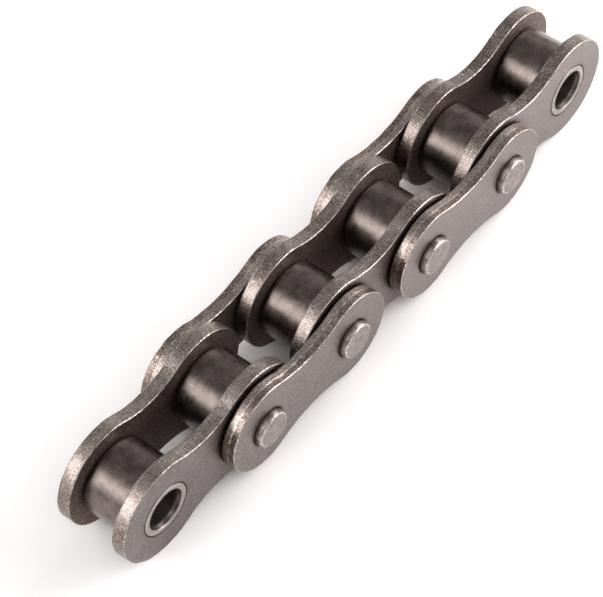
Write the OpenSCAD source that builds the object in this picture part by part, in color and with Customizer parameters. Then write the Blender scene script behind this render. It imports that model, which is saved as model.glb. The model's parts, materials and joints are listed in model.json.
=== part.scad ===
// Segment of motorcycle roller chain: inner links and outer links in turn,
// joined by pins that turn in bushes, with a loose roller on every bush.
// The chain runs along X, the pins lie along Y and +Z is up. It stands on the
// round ends of its inner plates, and the origin is on that surface, under the
// middle of the chain. Joints are numbered from 1 at the -X end.
// Front is the -Y side, back is the +Y side. Lengths are in millimetres.

/* [Chain] */
// Distance between neighbouring pin axes
pitch = 15.875; // [15.6:0.005:16.2]
// Number of inner links; there is one outer link fewer
inner_links = 3; // [2:1:6]
// Clear width between the two plates of an inner link
inner_width = 6.5; // [6.2:0.05:7]

/* [Inner plates] */
// Height of an inner plate across its round ends
inner_plate_h = 14.4; // [13.6:0.1:15]
// Height of an inner plate at its waist
inner_waist_h = 10.6; // [9.6:0.1:11.6]
// Thickness of an inner plate
inner_plate_t = 1.8; // [1.5:0.05:2.4]

/* [Outer plates] */
// Height of an outer plate across its round ends
outer_plate_h = 12.6; // [11.6:0.1:13.6]
// Height of an outer plate at its waist
outer_waist_h = 9.4; // [8.4:0.1:10.4]
// Thickness of an outer plate
outer_plate_t = 1.8; // [1.5:0.05:2.4]

/* [Pins] */
// Diameter of a pin
pin_d = 5.09; // [4.8:0.01:5.4]
// Height that a pin stands out of the outer plate at each end
pin_proud = 1; // [0.5:0.05:1.4]
// Size of the bevel around each end of a pin
pin_bevel = 0.4; // [0.1:0.05:0.6]

/* [Bushes] */
// Wall thickness of a bush
bush_wall = 0.96; // [0.8:0.02:1.2]
// Height that a bush stands out of the inner plate at each end
bush_proud = 0.05; // [0.02:0.01:0.15]
// Size of the bevel at each mouth of a bush's bore
bush_mouth_bevel = 0.3; // [0.1:0.05:0.4]
// Size of the bevel around each outer rim of a bush
bush_rim_bevel = 0.2; // [0.05:0.05:0.3]

/* [Rollers] */
// Outside diameter of a roller
roller_d = 10.16; // [9.8:0.01:10.6]
// Size of the bevel around each outer rim of a roller
roller_bevel = 0.4; // [0.2:0.05:0.8]
// Size of the bevel at each mouth of a roller's bore
roller_mouth_bevel = 0.2; // [0.1:0.05:0.4]

/* [Clearances] */
// Radial clearance of a pin in its bush
pin_clearance = 0.05; // [0.02:0.01:0.1]
// Radial clearance of a roller on its bush
roller_clearance = 0.07; // [0.03:0.01:0.1]
// Gap between each end of a roller and the inner plate
roller_end_gap = 0.15; // [0.05:0.01:0.3]
// Gap between each end of a bush and the outer plate
bush_end_gap = 0.25; // [0.05:0.01:0.4]

/* [Hidden] */
$fn = 96;
SIDES = ["front", "back"];
BRIGHT_STEEL = [0.55, 0.53, 0.52];
PLATE_STEEL = [0.50, 0.47, 0.45];
DARK_STEEL = [0.27, 0.26, 0.26];
// Length by which a cutter passes the faces that it cuts
cut_over = 1;
// Depth by which a waist arc crosses a round end instead of only touching it
arc_overlap = 0.005;

joints = 2 * inner_links;
outer_links = inner_links - 1;
axis_z = inner_plate_h / 2;
// Half spans across the chain, from its middle plane outwards
inner_plate_y = inner_width / 2;
bush_half = inner_plate_y + inner_plate_t + bush_proud;
outer_plate_y = bush_half + bush_end_gap;
pin_half = outer_plate_y + outer_plate_t + pin_proud;
roller_half = inner_plate_y - roller_end_gap;
// Radii around a joint, from the pin outwards
pin_r = pin_d / 2;
bush_bore_r = pin_r + pin_clearance;
bush_r = bush_bore_r + bush_wall;
roller_bore_r = bush_r + roller_clearance;
roller_r = roller_d / 2;

function joint_x(joint) = (joint - (joints + 1) / 2) * pitch;
function inner_plate_name(link, side) = str("inner_plate_", link, "_", side);
function outer_plate_name(link, side) = str("outer_plate_", link, "_", side);
function bush_name(joint) = str("bush_", joint);
function roller_name(joint) = str("roller_", joint);
function pin_name(joint) = str("pin_", joint);

// Puts a shape that is drawn upright on a joint's axis, with its Z along -Y
module at_joint(joint) {
    translate([joint_x(joint), 0, axis_z])
        rotate([90, 0, 0])
            children();
}

// Outline of a plate over two joints: two round ends of diameter h, and a
// waist of height waist whose edges are arcs that run into the round ends
module plate_outline(h, waist) {
    half_pitch = pitch / 2;
    end_r = h / 2;
    root_r = end_r - arc_overlap;
    waist_half = waist / 2;
    arc_r = (half_pitch ^ 2 + waist_half ^ 2 - root_r ^ 2) / (2 * (root_r - waist_half));
    arc_y = waist_half + arc_r;
    meet = root_r / (root_r + arc_r);
    meet_x = meet * half_pitch;
    meet_y = meet * arc_y;
    for (x = [0, pitch])
        translate([x, 0])
            circle(r = end_r);
    difference() {
        translate([meet_x, -meet_y])
            square([pitch - 2 * meet_x, 2 * meet_y]);
        for (up = [-1, 1])
            translate([half_pitch, up * arc_y])
                circle(r = arc_r);
    }
}

// Plate with a hole at each of its two joints; near is its face towards the
// chain's middle plane
module plate(first_joint, side, h, waist, t, near, hole_r) {
    low = side == "front" ? near : -near - t;
    at_joint(first_joint)
        translate([0, 0, low])
            difference() {
                linear_extrude(t)
                    plate_outline(h, waist);
                for (x = [0, pitch])
                    translate([x, 0, -cut_over])
                        cylinder(r = hole_r, h = t + 2 * cut_over);
            }
}

// Inner plate, pressed on the ends of two bushes
module inner_plate(link, side) {
    color(PLATE_STEEL)
        plate(2 * link - 1, side, inner_plate_h, inner_waist_h, inner_plate_t, inner_plate_y, bush_r);
}

// Outer plate, pressed on the ends of two pins
module outer_plate(link, side) {
    color(BRIGHT_STEEL)
        plate(2 * link, side, outer_plate_h, outer_waist_h, outer_plate_t, outer_plate_y, pin_r);
}

// Tube around a joint's axis, with bevels at the mouths of its bore and at its rims
module tube(joint, half, bore_r, r, mouth_bevel, rim_bevel) {
    at_joint(joint)
        rotate_extrude()
            polygon([
                [bore_r, mouth_bevel - half],
                [bore_r + mouth_bevel, -half],
                [r - rim_bevel, -half],
                [r, rim_bevel - half],
                [r, half - rim_bevel],
                [r - rim_bevel, half],
                [bore_r + mouth_bevel, half],
                [bore_r, half - mouth_bevel]
            ]);
}

// Bush that holds the two inner plates apart and carries the pin and the roller
module bush(joint) {
    color(BRIGHT_STEEL)
        tube(joint, bush_half, bush_bore_r, bush_r, bush_mouth_bevel, bush_rim_bevel);
}

// Roller that turns on a bush between the inner plates
module roller(joint) {
    color(DARK_STEEL)
        tube(joint, roller_half, roller_bore_r, roller_r, roller_mouth_bevel, roller_bevel);
}

// Pin that turns in a bush, with its ends fixed in the outer plates
module pin(joint) {
    color(BRIGHT_STEEL)
        at_joint(joint)
            rotate_extrude()
                polygon([
                    [0, -pin_half],
                    [pin_r - pin_bevel, -pin_half],
                    [pin_r, pin_bevel - pin_half],
                    [pin_r, pin_half - pin_bevel],
                    [pin_r - pin_bevel, pin_half],
                    [0, pin_half]
                ]);
}

for (link = [1 : inner_links])
    for (side = SIDES)
        inner_plate(link, side);
for (link = [1 : outer_links])
    for (side = SIDES)
        outer_plate(link, side);
for (joint = [1 : joints]) {
    bush(joint);
    roller(joint);
}
for (joint = [2 : joints - 1])
    pin(joint);
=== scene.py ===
import itertools
import json
import math

import bmesh
import bpy
import numpy as np
from mathutils import Matrix, Vector


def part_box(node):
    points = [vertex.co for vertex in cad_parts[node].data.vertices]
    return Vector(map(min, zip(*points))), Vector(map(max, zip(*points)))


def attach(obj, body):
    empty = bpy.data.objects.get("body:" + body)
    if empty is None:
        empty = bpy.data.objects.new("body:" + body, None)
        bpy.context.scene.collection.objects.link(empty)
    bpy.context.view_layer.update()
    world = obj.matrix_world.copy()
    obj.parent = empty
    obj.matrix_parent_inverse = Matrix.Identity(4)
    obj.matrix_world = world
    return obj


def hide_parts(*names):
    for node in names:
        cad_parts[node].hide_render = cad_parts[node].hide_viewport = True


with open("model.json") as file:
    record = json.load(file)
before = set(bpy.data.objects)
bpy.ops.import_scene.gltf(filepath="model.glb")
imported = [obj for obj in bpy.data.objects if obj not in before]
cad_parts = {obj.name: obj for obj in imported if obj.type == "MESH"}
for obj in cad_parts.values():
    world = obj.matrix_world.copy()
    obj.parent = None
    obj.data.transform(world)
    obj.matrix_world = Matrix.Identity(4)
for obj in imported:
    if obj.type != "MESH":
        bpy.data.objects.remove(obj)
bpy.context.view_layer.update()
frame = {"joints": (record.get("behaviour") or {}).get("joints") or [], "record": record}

MM = 0.001
SIDES = ("front", "back")

# Places and sizes that the frame gives, in metres
spins = {joint["child"]: joint for joint in frame["joints"] if joint["child"].startswith("roller_")}
JOINTS = len(spins)
INNER_LINKS = JOINTS // 2
OUTER_LINKS = INNER_LINKS - 1
AXIS = {k: Vector(spins[f"roller_{k}"]["pos_m"]) for k in range(1, JOINTS + 1)}
PITCH = AXIS[2].x - AXIS[1].x
BORE_R = frame["record"]["mounts"][0]["dims"]["r_mm"] * MM


def half_size(node):
    """Half of a node's box along x, y and z."""
    low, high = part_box(node)
    return (high - low) / 2


PIN_R, PIN_HALF, _ = half_size("pin_2")
OUTER_R = half_size("outer_plate_1_front").z
BUSH_R, BUSH_HALF, _ = half_size("bush_1")
ROLLER_R, ROLLER_HALF, _ = half_size("roller_1")

# Sizes that the nodes' boxes don't show
INNER_WAIST = 10.6 * MM
OUTER_WAIST = 9.4 * MM
ROLLER_BORE_R = BUSH_R + 0.07 * MM
ROLLER_ROUND = 0.45 * MM
ROLLER_MOUTH_ROUND = 0.2 * MM
BUSH_RIM_ROUND = 0.15 * MM
BUSH_MOUTH = 0.24 * MM
BUSH_MOUTH_DEPTH = 0.6 * MM
BUSH_MOUTH_ROUND = 0.07 * MM
BUSH_BORE_ROUND = 1.2 * MM
PIN_PROUD = 1.0 * MM
PIN_TAPER = 0.12 * MM
PIN_ROUND = 0.3 * MM
PIN_DOME = 0.05 * MM

# Uneven wear of a pin's ends: share of the radius lost, waves around the rim and depth below the end
PIN_WEAR = 0.04
PIN_WAVES = 7
PIN_WORN = 0.6 * MM

# Strength of the polished band below a pin's end, and the depths at which it starts, is strongest and ends
PIN_POLISH = 0.6
PIN_BRIGHT = (0.25 * MM, 0.42 * MM, 0.7 * MM)

# Fineness of the meshes
OUTLINE_STEP = 0.28 * MM
MIDLINE_POINTS = 14
FACE_RINGS = 9
LATHE_SIDES = 96
ROUND_STEPS = 6
SUPPORT = 0.12 * MM

# Shape of a stamped plate's cut edge
RIM_ROUND = 0.115 * MM
RIM_VARIES = 0.5
HOLE_ROUND = 0.14 * MM
FACE_MARGIN = 0.3 * MM
EDGE_GRIT = 0.012 * MM
EDGE_WANDER = 0.015 * MM
RIDGE_WANDER = 0.12
RIDGE_HALF = 0.035
RIDGE_BRIGHT = 0.05 * MM
WALL_SHARES = (0.12, 0.27, 0.40)

# Waves around a plate's outline in its rims, in the cut itself and in the place of the ridge on it
RIM_WAVES = 40
EDGE_WAVES = 60
RIDGE_WAVES = 50

# Patches around a plate's outline where the ridge stands proud and where the line along it is bright
RIDGE_PATCHES = {"waves": 90, "gain": 2, "loss": 0.5}
BRIGHT_PATCHES = {"waves": 120, "gain": 3, "loss": 1.2}

# Reach of the oily dirt and painted shade around what lies against a plate's outer face, the strength of the
# painted shade in seams and holes, and where the dirt and painted shade start below a pin's end, around a
# bush's rim and in the mouths of bushes, and where a roller's bore is darker
LINK_DIRT_AND_SHADE = 1.1 * MM
PIN_DIRT_AND_SHADE = 0.6 * MM
SEAM_SHADE = 0.4
HOLE_SHADE = 1.6
PIN_CLEAN = 0.5 * MM
BUSH_SEAM = 0.04 * MM
BORE_DIRT_AND_SHADE = 0.5
MOUTH_DIRT_AND_SHADE = 0.85
ROLLER_BORE_MARGIN = 0.003 * MM

# Share of the painted shade that darkens the low part of a plate's cut edge, and the heights between which
# it grows, as shares of the plate's half height above its axis
LOW_EDGE_SHADE = 0.75
LOW_SHADE_NONE = 0.62
LOW_SHADE_FULL = 0.4

# What the materials need to know of a piece's points: cut edges, worn rims, the bright line along the
# middle of an edge, the half of a plate towards the chain's middle, oily dirt and painted shade, and the
# shares of oily film and painted shade on a plate's edges and of paler bare steel and painted light on its
# faces
MARKS = ("edge", "rim", "streak", "inner", "grime", "film", "bare")


class Mesh:
    """Points, faces and per-point marks of one piece, collected ring by ring."""

    def __init__(self):
        self.points = []
        self.faces = []
        self.marks = {name: [] for name in MARKS}

    def add(self, points, **marks):
        """Adds points with their marks and returns their numbers."""
        first = len(self.points)
        self.points.extend(map(tuple, points))
        for name, values in self.marks.items():
            values.extend(np.broadcast_to(marks.get(name, 0.0), len(points)))
        return list(range(first, len(self.points)))

    def bridge(self, ring, other):
        """Joins two closed rings of as many points with a band of quads."""
        count = len(ring)
        for i in range(count):
            j = (i + 1) % count
            self.faces.append((ring[i], ring[j], other[j], other[i]))

    def fan(self, ring, tip):
        """Closes a ring with triangles to one point."""
        for i, point in enumerate(ring):
            self.faces.append((point, ring[(i + 1) % len(ring)], tip))

    def make(self, name, material):
        """Makes the Blender object, smooth, with its faces turned outwards."""
        data = bpy.data.meshes.new(name)
        data.from_pydata(self.points, [], self.faces)
        for mark, values in self.marks.items():
            layer = data.attributes.new(mark, "FLOAT", "POINT")
            layer.data.foreach_set("value", np.array(values, np.float32))
        shell = bmesh.new()
        shell.from_mesh(data)
        bmesh.ops.recalc_face_normals(shell, faces=shell.faces)
        shell.to_mesh(data)
        shell.free()
        data.shade_smooth()
        data.materials.append(material)
        piece = bpy.data.objects.new(name, data)
        bpy.context.scene.collection.objects.link(piece)
        return piece


def ripple(rng, count, waves):
    """Smooth random values from 0 to 1 around a closed outline."""
    turn = np.arange(count) * 2 * np.pi / count
    orders = np.arange(1, waves + 1)[:, None]
    phases = rng.uniform(0, 2 * np.pi, (waves, 1))
    weights = rng.normal(size=(waves, 1))
    total = (weights * np.sin(orders * turn + phases)).sum(axis=0)
    return (total - total.min()) / (total.max() - total.min())


def patches(rng, count, waves, gain, loss):
    """Random soft patches of 1 on 0 around a closed outline."""
    return np.clip(gain * ripple(rng, count, waves) - loss, 0, 1)


def arc(centre, radius, start, stop, inward=False):
    """Points along an arc, its last point left out, and the plate's outward directions there."""
    count = max(2, round(abs(stop - start) * radius / OUTLINE_STEP))
    angles = np.linspace(start, stop, count, endpoint=False)
    rays = np.stack([np.cos(angles), np.sin(angles)], axis=1)
    return np.array(centre) + radius * rays, -rays if inward else rays


def half_outline(end_r, waist):
    """Right half of a plate's outline around its right joint, from the low middle to the high middle."""
    half = PITCH / 2
    waist_half = waist / 2
    arc_r = (half ** 2 + waist_half ** 2 - end_r ** 2) / (2 * (end_r - waist_half))
    arc_z = waist_half + arc_r
    lean = math.atan2(arc_z, half)
    upright = math.pi / 2
    runs = (
        arc((-half, -arc_z), arc_r, upright, lean, inward=True),
        arc((0, 0), end_r, lean - math.pi, math.pi - lean),
        arc((-half, arc_z), arc_r, -lean, -upright, inward=True),
    )
    points = np.concatenate([run[0] for run in runs])
    outward = np.concatenate([run[1] for run in runs])
    return points, outward


def smooth_step(values):
    """Values from 0 to 1 with a soft start and stop."""
    share = np.clip(values, 0, 1)
    return share * share * (3 - 2 * share)


def edge_profile(rng, count, thick, ridge):
    """Cross-section of a plate's edge, from the outer face to the inner one, around the outline:
    rows of inset, depth and marks."""
    outer_round = RIM_ROUND * (1 - RIM_VARIES + 2 * RIM_VARIES * ripple(rng, count, RIM_WAVES))
    inner_round = RIM_ROUND * (1 - RIM_VARIES + 2 * RIM_VARIES * ripple(rng, count, RIM_WAVES))
    wander = EDGE_WANDER * ripple(rng, count, EDGE_WAVES)
    recess = ridge * patches(rng, count, **RIDGE_PATCHES)
    middle = 0.5 + RIDGE_WANDER * (ripple(rng, count, RIDGE_WAVES) - 0.5)
    bright = min(1, ridge / RIDGE_BRIGHT) * patches(rng, count, **BRIGHT_PATCHES)
    rows = [(wander + recess + outer_round + FACE_MARGIN, 0 * wander, {})]
    bends = np.linspace(0, math.pi / 2, ROUND_STEPS)
    for bend in bends:
        inset = wander + recess + outer_round * (1 - math.sin(bend))
        marks = {"edge": bend / math.pi, "rim": math.sin(2 * bend)}
        rows.append((inset, outer_round * (1 - math.cos(bend)), marks))
    wall = thick - outer_round - inner_round
    shares = [share + 0 * middle for share in WALL_SHARES]
    shares += [middle - RIDGE_HALF, middle + RIDGE_HALF]
    shares += [1 - share + 0 * middle for share in reversed(WALL_SHARES)]
    first_proud = len(WALL_SHARES) + 1
    for i, share in enumerate(shares):
        grit = EDGE_GRIT * rng.uniform(size=count)
        proud = i >= first_proud
        inset = wander + grit + (0 if proud else recess)
        marks = {"edge": 1, "inner": 1 if proud else 0, "streak": bright if i == first_proud else 0}
        rows.append((inset, outer_round + share * wall, marks))
    for bend in reversed(bends):
        inset = wander + inner_round * (1 - math.sin(bend))
        marks = {"edge": bend / math.pi, "rim": math.sin(2 * bend), "inner": 1}
        rows.append((inset, thick - inner_round * (1 - math.cos(bend)), marks))
    rows.append((wander + inner_round + FACE_MARGIN, thick + 0 * wander, {"inner": 1}))
    return rows


def plate(name, first_joint, waist, hole_r, material, seed, ridge, film, bare, seats, reach):
    """Stamped link plate over two joints, with a hole at each. Oily dirt and painted shade lie on its outer
    face around its seats, a radius for each joint that has one, as far as reach."""
    rng = np.random.default_rng(seed)
    low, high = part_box(name)
    front = high.y < 0
    outer_y, inner_y = (low.y, high.y) if front else (high.y, low.y)
    inward = 1 if front else -1
    thick = abs(inner_y - outer_y)
    end_r = (high.z - low.z) / 2
    axis_z = AXIS[first_joint].z
    centres = (AXIS[first_joint].x, AXIS[first_joint + 1].x)
    mesh = Mesh()

    def lift(flat, depth):
        """Points of the x-z plane moved to a depth below the outer face."""
        across = outer_y + inward * depth + 0 * flat[:, 0]
        return np.stack([flat[:, 0], across, axis_z + flat[:, 1]], axis=1)

    def dirt_and_shade(flat):
        """Oily dirt and painted shade at points of the outer face, thickest at the seats."""
        total = np.zeros(len(flat))
        for joint, radius in seats.items():
            beyond = np.hypot(flat[:, 0] - AXIS[joint].x, flat[:, 1]) - radius
            total = np.maximum(total, 1 - smooth_step(beyond / reach))
        return total

    # The outline runs round the right joint first and then, turned by half a turn, round the left one
    right, right_out = half_outline(end_r, waist)
    half_count = len(right)
    outline = np.concatenate([right + (centres[1], 0), (centres[0], 0) - right])
    outward = np.concatenate([right_out, -right_out])
    count = len(outline)
    rings = []
    for inset, depth, marks in edge_profile(rng, count, thick, ridge):
        flat = outline - outward * inset[:, None]
        # Painted shade on the low part of the cut edge, on top of the link's share of oily film and painted
        # shade
        low_film = LOW_EDGE_SHADE * smooth_step((LOW_SHADE_NONE - flat[:, 1] / end_r) / (LOW_SHADE_NONE - LOW_SHADE_FULL))
        rings.append(mesh.add(lift(flat, depth), film=np.maximum(film, low_film), bare=bare, **marks))
    for ring, other in zip(rings, rings[1:]):
        mesh.bridge(ring, other)

    # Each face is two fans of quads, one round each hole, that meet on the midline
    bends = np.linspace(0, math.pi / 2, ROUND_STEPS)
    hole_rows = [(HOLE_ROUND + SUPPORT, 0)]
    hole_rows += [(HOLE_ROUND * (1 - math.sin(bend)), HOLE_ROUND * (1 - math.cos(bend))) for bend in bends]
    hole_rows += [(widen, thick - depth) for widen, depth in reversed(hole_rows)]
    faces = {0: rings[0], thick: rings[-1]}
    midlines = {}
    for depth, ring in faces.items():
        ends = np.array([mesh.points[ring[0]], mesh.points[ring[half_count]]])
        shares = np.linspace(0, 1, MIDLINE_POINTS + 2)[1:-1, None]
        midlines[depth] = mesh.add(ends[0] + (ends[1] - ends[0]) * shares, inner=depth / thick, bare=bare)
    for side, centre in enumerate(reversed(centres)):
        loops = {}
        for depth, ring in faces.items():
            around = ring[:half_count + 1] if side == 0 else ring[half_count:] + ring[:1]
            middle = midlines[depth]
            loops[depth] = around + (middle[::-1] if side == 0 else middle)
        border = np.array([mesh.points[i] for i in loops[0]])
        rays = border[:, [0, 2]] - (centre, axis_z)
        rays /= np.linalg.norm(rays, axis=1)[:, None]
        hole_rings = []
        for widen, depth in hole_rows:
            flat = (centre, 0) + rays * (hole_r + widen)
            # Painted shade in the seam at the hole's rounding; oily dirt and painted shade on the face
            # around it
            grime = HOLE_SHADE if widen <= HOLE_ROUND else np.maximum(dirt_and_shade(flat), SEAM_SHADE)
            hole_rings.append(mesh.add(lift(flat, depth), grime=grime, inner=depth / thick, bare=bare))
        for ring, other in zip(hole_rings, hole_rings[1:]):
            mesh.bridge(ring, other)
        for depth, hole_ring in ((0, hole_rings[0]), (thick, hole_rings[-1])):
            inner = np.array([mesh.points[i] for i in hole_ring])
            outer = np.array([mesh.points[i] for i in loops[depth]])
            steps = [hole_ring]
            for share in np.linspace(0, 1, FACE_RINGS + 2)[1:-1]:
                places = inner + (outer - inner) * share
                # Oily dirt and painted shade on the outer face around the seats
                grime = dirt_and_shade(places[:, [0, 2]] - (0, axis_z)) if depth == 0 else 0
                steps.append(mesh.add(places, grime=grime, inner=depth / thick, bare=bare))
            steps.append(loops[depth])
            for ring, other in zip(steps, steps[1:]):
                mesh.bridge(ring, other)
    return mesh.make(f"{name}_dressed", material)


def rounded(corners, rounds, closed):
    """Profile with its corners rounded: rows of radius, distance along the axis and rim mark."""
    rows = []
    count = len(corners)
    points = [Vector(corner) for corner in corners]
    for i, point in enumerate(points):
        if rounds[i] == 0:
            rows.append((*point, 0))
            continue
        before = (points[i - 1] - point).normalized()
        after = (points[(i + 1) % count] - point).normalized()
        half_angle = before.angle(after) / 2
        reach = rounds[i] / math.tan(half_angle)
        centre = point + (before + after).normalized() * rounds[i] / math.sin(half_angle)
        start = point + before * reach - centre
        sweep = start.angle_signed(point + after * reach - centre)
        rows.append((*(point + before * (reach + SUPPORT)), 0))
        for share in np.linspace(0, 1, ROUND_STEPS):
            turned = Matrix.Rotation(-sweep * share, 2) @ start
            rows.append((*(centre + turned), math.sin(math.pi * share)))
        rows.append((*(point + after * (reach + SUPPORT)), 0))
    return rows + rows[:1] if closed else rows


def lathe(name, axis, rows, material, dirt_and_shade, wear=None, polish=None):
    """Piece turned about a joint's axis from its profile's rows. Its dirt and painted shade are a function
    of the radius and the distance along the axis, its wear and its polish of that distance: the shares of
    the radius lost around it, and its least rim mark."""
    mesh = Mesh()
    turn = np.linspace(0, 2 * math.pi, LATHE_SIDES, endpoint=False)
    circle = np.stack([np.cos(turn), 0 * turn, np.sin(turn)], axis=1)
    closed = rows[0] == rows[-1]
    rings = []
    for radius, along, rim in rows[:-1] if closed else rows:
        centre = np.array(axis) + (0, along, 0)
        radii = radius * (1 - (wear(along) if wear else 0 * turn))
        places = centre + radii[:, None] * circle if radius > 0 else centre[None]
        bright = max(rim, polish(along)) if polish else rim
        rings.append(mesh.add(places, rim=bright, grime=dirt_and_shade(radius, along)))
    if closed:
        rings.append(rings[0])
    for ring, other in zip(rings, rings[1:]):
        if len(ring) == 1:
            mesh.fan(other, ring[0])
        elif len(other) == 1:
            mesh.fan(ring, other[0])
        else:
            mesh.bridge(ring, other)
    return mesh.make(f"{name}_dressed", material)


def roller(name, axis, material):
    """Roller: a tube with rounded rims."""
    corners = [
        (ROLLER_BORE_R, -ROLLER_HALF),
        (ROLLER_R, -ROLLER_HALF),
        (ROLLER_R, ROLLER_HALF),
        (ROLLER_BORE_R, ROLLER_HALF),
    ]
    rounds = [ROLLER_MOUTH_ROUND, ROLLER_ROUND, ROLLER_ROUND, ROLLER_MOUTH_ROUND]

    def dirt_and_shade(radius, along):
        """Darker in the bore."""
        return float(radius < ROLLER_BORE_R + ROLLER_BORE_MARGIN)

    return lathe(name, axis, rounded(corners, rounds, closed=True), material, dirt_and_shade)


def bush(name, axis, material):
    """Bush: a tube with rounded rims and bevelled mouths."""
    mouth_r = BORE_R + BUSH_MOUTH
    deep = BUSH_HALF - BUSH_MOUTH_DEPTH
    corners = [
        (BORE_R, -deep),
        (mouth_r, -BUSH_HALF),
        (BUSH_R, -BUSH_HALF),
        (BUSH_R, BUSH_HALF),
        (mouth_r, BUSH_HALF),
        (BORE_R, deep),
    ]
    end_rounds = [BUSH_BORE_ROUND, BUSH_MOUTH_ROUND, BUSH_RIM_ROUND]
    rounds = end_rounds + end_rounds[::-1]

    def dirt_and_shade(radius, along):
        """Dirt and painted shade in the bore, thickest on its mouths, and painted shade in the seam around
        the bush.
        """
        share = (radius - BORE_R) / BUSH_MOUTH
        if share < MOUTH_DIRT_AND_SHADE:
            return BORE_DIRT_AND_SHADE + (1 - BORE_DIRT_AND_SHADE) * float(smooth_step(2 * share))
        return float(radius > BUSH_R - BUSH_SEAM)

    return lathe(name, axis, rounded(corners, rounds, closed=True), material, dirt_and_shade)


def pin(name, axis, material, seed):
    """Pin with tapered, rounded and slightly domed ends that are worn out of round."""
    rng = np.random.default_rng(seed)
    dents = {side: ripple(rng, LATHE_SIDES, PIN_WAVES) for side in SIDES}
    face = PIN_HALF - PIN_DOME
    face_r = PIN_R - PIN_TAPER
    seat = PIN_HALF - PIN_PROUD
    corners = [
        (0, -PIN_HALF),
        (face_r, -face),
        (PIN_R, -seat),
        (PIN_R, seat),
        (face_r, face),
        (0, PIN_HALF),
    ]
    rounds = [0, PIN_ROUND, 0, 0, PIN_ROUND, 0]

    def dirt_and_shade(radius, along):
        """Dirt and painted shade that thicken towards the plate."""
        return float(smooth_step((PIN_HALF - abs(along) - PIN_CLEAN) / (PIN_PROUD - PIN_CLEAN)))

    def wear(along):
        """Shares of the radius lost around the pin, most at its ends."""
        share = np.clip(1 - (PIN_HALF - abs(along)) / PIN_WORN, 0, 1)
        return PIN_WEAR * share * dents["front" if along < 0 else "back"]

    def polish(along):
        """Bright band below each end."""
        return float(np.interp(PIN_HALF - abs(along), PIN_BRIGHT, (0, PIN_POLISH, 0)))

    return lathe(name, axis, rounded(corners, rounds, closed=False), material, dirt_and_shade, wear, polish)


# Sockets of a mix node for its first value, its second value and its result
MIX_SOCKETS = {"RGBA": (6, 7, 2), "FLOAT": (2, 3, 0)}


class Surface:
    """A metal material whose nodes vary it over the piece's own coordinates."""

    def __init__(self, name):
        self.material = bpy.data.materials.new(name)
        self.material.use_nodes = True
        self.tree = self.material.node_tree
        self.metal = self.tree.nodes["Principled BSDF"]
        self.metal.inputs["Metallic"].default_value = 1
        self.place = self.add("ShaderNodeTexCoord").outputs["Object"]

    def add(self, kind, inputs=None, **settings):
        """New node, with its settings, and its inputs linked or set."""
        node = self.tree.nodes.new(kind)
        for key, value in settings.items():
            setattr(node, key, value)
        for key, value in (inputs or {}).items():
            self.feed(node.inputs[key], value)
        return node

    def feed(self, socket, value):
        """Links an output to a socket, or sets the socket's own value."""
        if isinstance(value, bpy.types.NodeSocket):
            self.tree.links.new(value, socket)
        else:
            socket.default_value = value

    def noise(self, size, detail=2.0, roughness=0.5, stretch=(1, 1, 1), turn=(0, 0, 0)):
        """Noise of a grain size in metres, drawn out along the piece's axes by stretch."""
        scale = [1 / (size * share) for share in stretch]
        place = self.add("ShaderNodeMapping", {"Vector": self.place, "Rotation": turn, "Scale": scale})
        grain = {"Vector": place.outputs["Vector"], "Scale": 1.0, "Detail": detail, "Roughness": roughness}
        return self.add("ShaderNodeTexNoise", grain).outputs["Fac"]

    def ramp(self, value, low, high, start=0.0, stop=1.0):
        """Maps low..high smoothly to start..stop."""
        inputs = {"Value": value, "From Min": low, "From Max": high, "To Min": start, "To Max": stop}
        return self.add("ShaderNodeMapRange", inputs, interpolation_type="SMOOTHSTEP").outputs["Result"]

    def math(self, operation, first, second):
        """Sum, product or the like of two values."""
        return self.add("ShaderNodeMath", {0: first, 1: second}, operation=operation).outputs["Value"]

    def mix(self, share, first, second, kind="RGBA"):
        """Mix of two colours or, with kind FLOAT, of two values."""
        first_socket, second_socket, result = MIX_SOCKETS[kind]
        inputs = {0: share, first_socket: first, second_socket: second}
        return self.add("ShaderNodeMix", inputs, data_type=kind).outputs[result]

    def mark(self, name):
        """A mark that the mesh carries on its points."""
        return self.add("ShaderNodeAttribute", attribute_name=name).outputs["Fac"]

    def bump(self, height, distance):
        """Normal of a bumpy surface whose height is a share of a distance in metres."""
        inputs = {"Height": height, "Distance": distance, "Strength": 1.0}
        return self.add("ShaderNodeBump", inputs).outputs["Normal"]

    def finish(self, colour, roughness, normal):
        """Joins the results to the metal shader."""
        self.feed(self.metal.inputs["Base Color"], colour)
        self.feed(self.metal.inputs["Roughness"], roughness)
        self.feed(self.metal.inputs["Normal"], normal)
        return self.material


# Colours of the plates: outer faces with bare steel and painted light, pits, glints and scratches, inner
# faces, cut edges with oily film and painted shade, nicks and a bright line, worn rims, oily dirt and
# painted shade at the joints, and painted shade in the seams
FACE_LOW = (0.16, 0.137, 0.132, 1)
FACE_HIGH = (0.197, 0.169, 0.163, 1)
FACE_BARE_AND_PAINTED_LIGHT = (0.335, 0.288, 0.277, 1)
FACE_PIT = (0.09, 0.076, 0.072, 1)
FACE_GLINT = (0.335, 0.293, 0.283, 1)
FACE_SCRATCH = (0.42, 0.366, 0.352, 1)
INNER_FACE_LOW = (0.071, 0.05, 0.043, 1)
INNER_FACE_HIGH = (0.315, 0.24, 0.217, 1)
EDGE_FILM_AND_SHADE = (0.12, 0.085, 0.071, 1)
EDGE_NICK = (0.95, 0.84, 0.75, 1)
EDGE_STREAK = (0.95, 0.89, 0.85, 1)
WORN_RIM = (0.78, 0.695, 0.655, 1)
JOINT_DIRT_AND_SHADE = (0.105, 0.07, 0.055, 1)
SEAM_SHADE_COLOUR = (0.042, 0.027, 0.02, 1)


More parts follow.
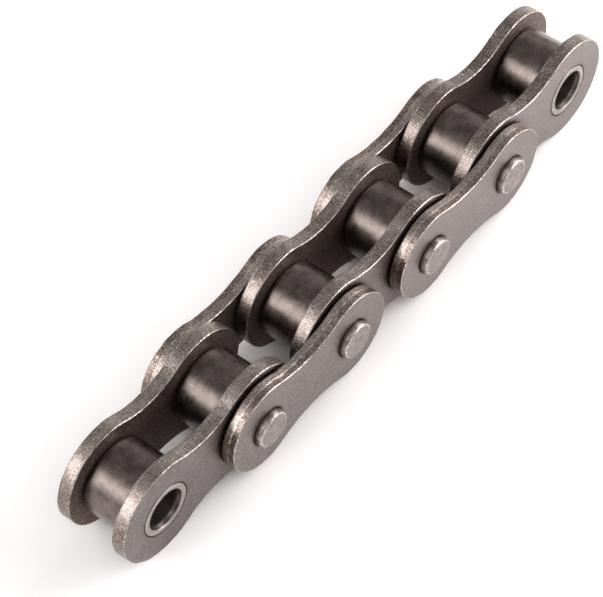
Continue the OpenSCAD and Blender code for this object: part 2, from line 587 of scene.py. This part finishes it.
def plate_steel(name, cut_low, cut_high, cut_light, fleck_light, fleck_dark, two_tone):
    """Satin stamped steel: smooth outer faces, browner inner faces, grainy brown cut edges whose inner half
    is lighter by a share, bright worn rims, oily dirt and painted shade at the joints and painted shade in
    the seams."""
    s = Surface(name)
    edge = s.mark("edge")
    rim = s.mark("rim")
    inner = s.mark("inner")
    streak = s.mark("streak")
    grime = s.mark("grime")
    grain = s.noise(0.16 * MM, 3, 0.65)
    mottle = s.noise(2.4 * MM, 4, 0.55)
    stain = s.noise(1.6 * MM, 3, 0.6)
    patch = s.noise(0.4 * MM, 3, 0.6)
    chip = s.noise(0.26 * MM, 2, 0.6)
    speck = s.noise(0.17 * MM, 2, 0.7)
    shear = s.noise(0.10 * MM, 1, 0.5, (1, 8, 1))
    scratch = s.noise(0.07 * MM, 1, 0.5, (1, 1, 40), (0, 0.9, 0))
    cross = s.noise(0.07 * MM, 1, 0.5, (1, 1, 30), (0, -0.5, 0))
    nick = s.noise(0.2 * MM, 1, 0.5, (1.6, 1, 1))

    face = s.mix(s.ramp(mottle, 0.3, 0.7), FACE_LOW, FACE_HIGH)
    # Paler bare steel with painted light, which makes the far plates' faces paler
    face = s.mix(s.mark("bare"), face, FACE_BARE_AND_PAINTED_LIGHT)
    face = s.mix(s.ramp(grain, 0.5, 0.28, 0, 1), face, FACE_PIT)
    face = s.mix(s.ramp(grain, 0.5, 0.72, 0, 1), face, FACE_GLINT)
    lines = s.math("MAXIMUM", s.ramp(scratch, 0.66, 0.8), s.ramp(cross, 0.68, 0.82))
    face = s.mix(s.math("MULTIPLY", lines, 0.6), face, FACE_SCRATCH)
    hidden = s.mix(s.ramp(grain, 0.34, 0.66), INNER_FACE_LOW, INNER_FACE_HIGH)
    face = s.mix(inner, face, hidden)

    cut = s.mix(s.ramp(stain, 0.35, 0.65), cut_low, cut_high)
    cut = s.mix(s.math("MULTIPLY", inner, two_tone), cut, cut_light)
    # Oily film and painted shade darken the low part of the cut edges and the far links' edges
    cut = s.mix(s.mark("film"), cut, EDGE_FILM_AND_SHADE)
    flecks = s.math("ADD", s.math("MULTIPLY", speck, 0.75), s.math("MULTIPLY", shear, 0.25))
    cut = s.mix(s.ramp(flecks, 0.5, 0.66, 0, 0.75), cut, fleck_light)
    cut = s.mix(s.ramp(flecks, 0.5, 0.35, 0, 0.85), cut, fleck_dark)
    cut = s.mix(s.ramp(nick, 0.67, 0.75, 0, 0.8), cut, EDGE_NICK)
    cut = s.mix(streak, cut, EDGE_STREAK)

    worn = s.math("MULTIPLY", rim, s.ramp(chip, 0.38, 0.62, 0.1, 1.0))
    colour = s.mix(s.ramp(edge, 0.3, 0.8), face, cut)
    colour = s.mix(worn, colour, WORN_RIM)
    # Oily dirt and painted shade at the joints
    dirt_and_shade = s.math("MULTIPLY", grime, s.ramp(patch, 0.3, 0.6, 0.25, 0.75))
    colour = s.mix(dirt_and_shade, colour, JOINT_DIRT_AND_SHADE)
    # Painted shade in the seams
    colour = s.mix(s.ramp(grime, 1.0, 1.5), colour, SEAM_SHADE_COLOUR)
    outer_rough = s.ramp(grain, 0.3, 0.7, 0.34, 0.44)
    inner_rough = s.ramp(grain, 0.3, 0.7, 0.5, 0.6)
    rough = s.mix(inner, outer_rough, inner_rough, "FLOAT")
    rough = s.mix(edge, rough, s.ramp(flecks, 0.35, 0.65, 0.31, 0.41), "FLOAT")
    rough = s.mix(worn, rough, 0.24, "FLOAT")
    height = s.mix(edge, s.math("MULTIPLY", grain, 0.12), s.math("MULTIPLY", flecks, 0.27), "FLOAT")
    return s.finish(colour, rough, s.bump(height, 0.05 * MM))


# Colours of the rollers
ROLLER_LOW = (0.111, 0.084, 0.076, 1)
ROLLER_HIGH = (0.194, 0.155, 0.141, 1)
ROLLER_STREAK = (0.30, 0.257, 0.243, 1)
ROLLER_PIT = (0.06, 0.047, 0.042, 1)
ROLLER_SCRATCH = (0.42, 0.375, 0.355, 1)
ROLLER_DUST = (0.55, 0.51, 0.48, 1)
ROLLER_RIM = (0.27, 0.24, 0.23, 1)
ROLLER_BORE_DARK = (0.03, 0.025, 0.023, 1)


def roller_steel():
    """Dark smooth steel with an oily sheen and faint turned streaks."""
    s = Surface("roller_steel")
    s.metal.inputs["Coat Weight"].default_value = 0.5
    s.metal.inputs["Coat Roughness"].default_value = 0.31
    rim = s.mark("rim")
    grime = s.mark("grime")
    streak = s.noise(0.12 * MM, 2, 0.6, (25, 1, 25))
    cloud = s.noise(1.3 * MM, 4, 0.65)
    grain = s.noise(0.13 * MM, 2, 0.6)
    dust = s.noise(0.2 * MM, 1, 0.5)
    scratch = s.noise(0.09 * MM, 1, 0.5, (1, 30, 1), (0.5, 0, 0))
    colour = s.mix(s.ramp(cloud, 0.3, 0.7), ROLLER_LOW, ROLLER_HIGH)
    colour = s.mix(s.ramp(streak, 0.55, 0.75, 0, 0.4), colour, ROLLER_STREAK)
    colour = s.mix(s.ramp(grain, 0.5, 0.3, 0, 0.5), colour, ROLLER_PIT)
    colour = s.mix(s.ramp(scratch, 0.68, 0.82, 0, 0.55), colour, ROLLER_SCRATCH)
    colour = s.mix(s.ramp(dust, 0.76, 0.84, 0, 0.6), colour, ROLLER_DUST)
    colour = s.mix(s.math("MULTIPLY", rim, 0.25), colour, ROLLER_RIM)
    # Darker in the bore
    colour = s.mix(grime, colour, ROLLER_BORE_DARK)
    rough = s.math("ADD", s.ramp(cloud, 0.3, 0.7, 0.27, 0.33), s.ramp(streak, 0.3, 0.7, -0.025, 0.025))
    height = s.math("ADD", s.math("MULTIPLY", streak, 0.05), s.math("MULTIPLY", grain, 0.3))
    return s.finish(colour, rough, s.bump(height, 0.03 * MM))


# Colour of the pits in ground steel
GROUND_PIT = (0.2, 0.17, 0.16, 1)


def turned_steel(name, low, high, rim_colour, dirt_and_shade_colour, uneven):
    """Ground steel of a bush or a pin, mottled and uneven, with rims worn bright in patches, and dirt and
    painted shade.
    """
    s = Surface(name)
    rim = s.mark("rim")
    grime = s.mark("grime")
    cloud = s.noise(0.8 * MM, 4, 0.6)
    grain = s.noise(0.14 * MM, 3, 0.65)
    chip = s.noise(0.45 * MM, 3, 0.6)
    colour = s.mix(s.ramp(cloud, 0.3, 0.7), low, high)
    colour = s.mix(s.ramp(grain, 0.45, 0.3, 0, 0.5), colour, GROUND_PIT)
    worn = s.math("MULTIPLY", rim, s.ramp(chip, 0.36, 0.62, 0.1, 0.95))
    colour = s.mix(worn, colour, rim_colour)
    # Dirt and painted shade in the bush's bore, mouths and seam and on the pin's wall towards the plate
    dirt_and_shade = s.math("MULTIPLY", grime, s.ramp(grain, 0.35, 0.65, 1.0, 0.75))
    colour = s.mix(dirt_and_shade, colour, dirt_and_shade_colour)
    rough = s.ramp(grain, 0.3, 0.7, 0.30, 0.42)
    height = s.math("ADD", s.math("MULTIPLY", cloud, uneven), s.math("MULTIPLY", grain, 0.15))
    return s.finish(colour, rough, s.bump(height, 0.04 * MM))


INNER_PLATE = plate_steel(
    "inner_plate_steel",
    cut_low=(0.305, 0.243, 0.218, 1),
    cut_high=(0.41, 0.345, 0.319, 1),
    cut_light=(0.46, 0.41, 0.39, 1),
    fleck_light=(0.75, 0.66, 0.617, 1),
    fleck_dark=(0.115, 0.081, 0.067, 1),
    two_tone=0.15,
)
OUTER_PLATE = plate_steel(
    "outer_plate_steel",
    cut_low=(0.2, 0.138, 0.113, 1),
    cut_high=(0.325, 0.25, 0.22, 1),
    cut_light=(0.47, 0.412, 0.387, 1),
    fleck_light=(0.77, 0.68, 0.636, 1),
    fleck_dark=(0.12, 0.078, 0.061, 1),
    two_tone=0.55,
)
ROLLER = roller_steel()
BUSH = turned_steel(
    "bush_steel",
    low=(0.294, 0.257, 0.248, 1),
    high=(0.41, 0.365, 0.351, 1),
    rim_colour=(0.515, 0.471, 0.453, 1),
    dirt_and_shade_colour=(0.06, 0.045, 0.039, 1),
    uneven=0.6,
)
PIN = turned_steel(
    "pin_steel",
    low=(0.205, 0.176, 0.168, 1),
    high=(0.345, 0.304, 0.293, 1),
    rim_colour=(0.7, 0.634, 0.608, 1),
    dirt_and_shade_colour=(0.08, 0.054, 0.042, 1),
    uneven=1.0,
)


def put(piece, node, body):
    """Lets a piece stand for its node."""
    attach(piece, body)
    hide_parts(node)


# Height of the ridge along the middle of a plate's cut edge, by outer link and for all inner links
OUTER_RIDGES = {1: 0.05 * MM, 2: 0.03 * MM}
INNER_RIDGE = 0.004 * MM

# Share of the oily brown film and painted shade on a plate's cut edge, by inner link and for all outer links
INNER_FILM_AND_SHADE = {1: 0.0, 2: 0.22, 3: 0.5}
OUTER_FILM_AND_SHADE = 0.0

# Share of paler bare steel and painted light on the faces of each link's plates
INNER_BARE_AND_PAINTED_LIGHT = {1: 0.02, 2: 0.0, 3: 0.4}
OUTER_BARE_AND_PAINTED_LIGHT = {1: 0.18, 2: 0.4}

# Seeds of the wear of plates and pins, in the order of making
seeds = itertools.count(1)

for link in range(1, INNER_LINKS + 1):
    for side in SIDES:
        node = f"inner_plate_{link}_{side}"
        joints = (2 * link - 1, 2 * link)
        seats = {joint: OUTER_R for joint in joints if 1 < joint < JOINTS}
        piece = plate(
            node, joints[0], INNER_WAIST, BUSH_R, INNER_PLATE,
            seed=next(seeds), ridge=INNER_RIDGE, film=INNER_FILM_AND_SHADE[link], bare=INNER_BARE_AND_PAINTED_LIGHT[link],
            seats=seats, reach=LINK_DIRT_AND_SHADE)
        put(piece, node, f"inner_link_{link}")
for link in range(1, OUTER_LINKS + 1):
    for side in SIDES:
        node = f"outer_plate_{link}_{side}"
        seats = {2 * link: PIN_R, 2 * link + 1: PIN_R}
        piece = plate(
            node, 2 * link, OUTER_WAIST, PIN_R, OUTER_PLATE,
            seed=next(seeds), ridge=OUTER_RIDGES[link], film=OUTER_FILM_AND_SHADE, bare=OUTER_BARE_AND_PAINTED_LIGHT[link],
            seats=seats, reach=PIN_DIRT_AND_SHADE)
        put(piece, node, f"outer_link_{link}")
for joint in range(1, JOINTS + 1):
    node = f"bush_{joint}"
    put(bush(node, AXIS[joint], BUSH), node, f"inner_link_{(joint + 1) // 2}")
    node = f"roller_{joint}"
    put(roller(node, AXIS[joint], ROLLER), node, node)
for joint in range(2, JOINTS):
    node = f"pin_{joint}"
    put(pin(node, AXIS[joint], PIN, next(seeds)), node, f"outer_link_{joint // 2}")

# Share of light that the warm white floor gives back, and how much it is lifted where it is seen: more from
# the near distance to the far one, because the lamps light only its middle
FLOOR_COLOUR = (0.9, 0.875, 0.87, 1)
FLOOR_LIFTED = (1.15, 1.115, 1.11, 1)
FLOOR_FAR_LIFTED = (3.4, 3.3, 3.29, 1)
FLOOR_NEAR = 0.12
FLOOR_FAR = 0.5
FLOOR_HALF = 2.0


def make_floor():
    """Plain white floor under the chain, lifted to white where it is seen directly or in the metal."""
    corners = [(x * FLOOR_HALF, y * FLOOR_HALF, 0) for x, y in ((-1, -1), (1, -1), (1, 1), (-1, 1))]
    data = bpy.data.meshes.new("floor")
    data.from_pydata(corners, [], [(0, 1, 2, 3)])
    floor = bpy.data.objects.new("floor", data)
    bpy.context.scene.collection.objects.link(floor)
    paper = Surface("floor_paper")
    paper.metal.inputs["Metallic"].default_value = 0
    paper.metal.inputs["Roughness"].default_value = 0.9
    paper.metal.inputs["Specular IOR Level"].default_value = 0
    path = paper.add("ShaderNodeLightPath").outputs
    seen = paper.math("MAXIMUM", path["Is Camera Ray"], path["Is Glossy Ray"])
    seen = paper.math("MAXIMUM", seen, path["Is Transmission Ray"])
    distance = paper.add("ShaderNodeVectorMath", {0: paper.place}, operation="LENGTH").outputs["Value"]
    lifted = paper.mix(paper.ramp(distance, FLOOR_NEAR, FLOOR_FAR), FLOOR_LIFTED, FLOOR_FAR_LIFTED)
    paper.feed(paper.metal.inputs["Base Color"], paper.mix(seen, FLOOR_COLOUR, lifted))
    data.materials.append(paper.material)


def softbox(name, aim, direction, distance, size, radiance, spread=math.pi):
    """Rectangular studio light in a direction from its aim, with a grid if its spread is narrow."""
    direction = Vector(direction).normalized()
    data = bpy.data.lights.new(name, "AREA")
    data.shape = "RECTANGLE"
    data.size, data.size_y = size
    data.spread = spread
    half = spread / 2
    through_grid = 1 - half / math.tan(half) if spread < math.pi else 1
    data.energy = radiance * through_grid * math.pi * size[0] * size[1]
    lamp = bpy.data.objects.new(name, data)
    lamp.location = aim + direction * distance
    lamp.rotation_euler = direction.to_track_quat("Z", "Y").to_euler()
    bpy.context.scene.collection.objects.link(lamp)


def make_world(level):
    """Even grey room light."""
    world = bpy.data.worlds.new("room")
    world.use_nodes = True
    world.node_tree.nodes["Background"].inputs["Color"].default_value = (level, level, level, 1)
    bpy.context.scene.world = world


def make_camera():
    """Camera at the photograph's viewing angle."""
    azimuth = math.radians(-48.637)
    elevation = math.radians(53.288)
    roll = math.radians(-3.331)
    distance = 282.568 * MM
    target = Vector((-8.8485, -0.245, 10.422)) * MM
    focal_pixels = 2372.773
    image_width = 603
    back = Vector((
        math.sin(azimuth) * math.cos(elevation),
        -math.cos(azimuth) * math.cos(elevation),
        math.sin(elevation),
    ))
    data = bpy.data.cameras.new("camera")
    data.lens = data.sensor_width * focal_pixels / image_width
    data.clip_start = 10 * MM
    camera = bpy.data.objects.new("camera", data)
    turn = back.to_track_quat("Z", "Y").to_matrix().to_4x4()
    place = Matrix.Translation(target + back * distance)
    camera.matrix_world = place @ turn @ Matrix.Rotation(roll, 4, "Z")
    bpy.context.scene.collection.objects.link(camera)
    bpy.context.scene.camera = camera


# Studio lights, each in a direction from what it is aimed at, and the level of the room's own light
MIDDLE = Vector((0, 0, 0))
LAMPS = {
    "left_softbox": {
        "aim": AXIS[1],
        "direction": (-0.775, 0.27, 0.56),
        "distance": 0.3,
        "size": (0.2, 0.3),
        "radiance": 5.8,
        "spread": math.radians(60),
    },
    "right_softbox": {
        "aim": MIDDLE,
        "direction": (0.885, 0.0, 0.465),
        "distance": 1.2,
        "size": (0.6, 0.6),
        "radiance": 3.1,
    },
    "far_softbox": {
        "aim": AXIS[JOINTS],
        "direction": (0.62, -0.6, 0.51),
        "distance": 0.2,
        "size": (0.16, 0.16),
        "radiance": 4.8,
    },
    "front_softbox": {
        "aim": MIDDLE,
        "direction": (0.447, -0.8, 0.39),
        "distance": 0.5,
        "size": (0.3, 0.2),
        "radiance": 3.0,
    },
    "fill_softbox": {
        "aim": MIDDLE,
        "direction": (-0.35, -0.38, 0.86),
        "distance": 0.6,
        "size": (0.3, 0.3),
        "radiance": 1.6,
    },
    "back_softbox": {
        "aim": MIDDLE,
        "direction": (-0.25, 0.85, 0.46),
        "distance": 0.5,
        "size": (0.3, 0.2),
        "radiance": 2.8,
    },
}
ROOM_LEVEL = 0.32

make_floor()
for name, lamp in LAMPS.items():
    softbox(name, **lamp)
make_world(ROOM_LEVEL)
make_camera()
bpy.context.scene.view_settings.view_transform = "Standard"
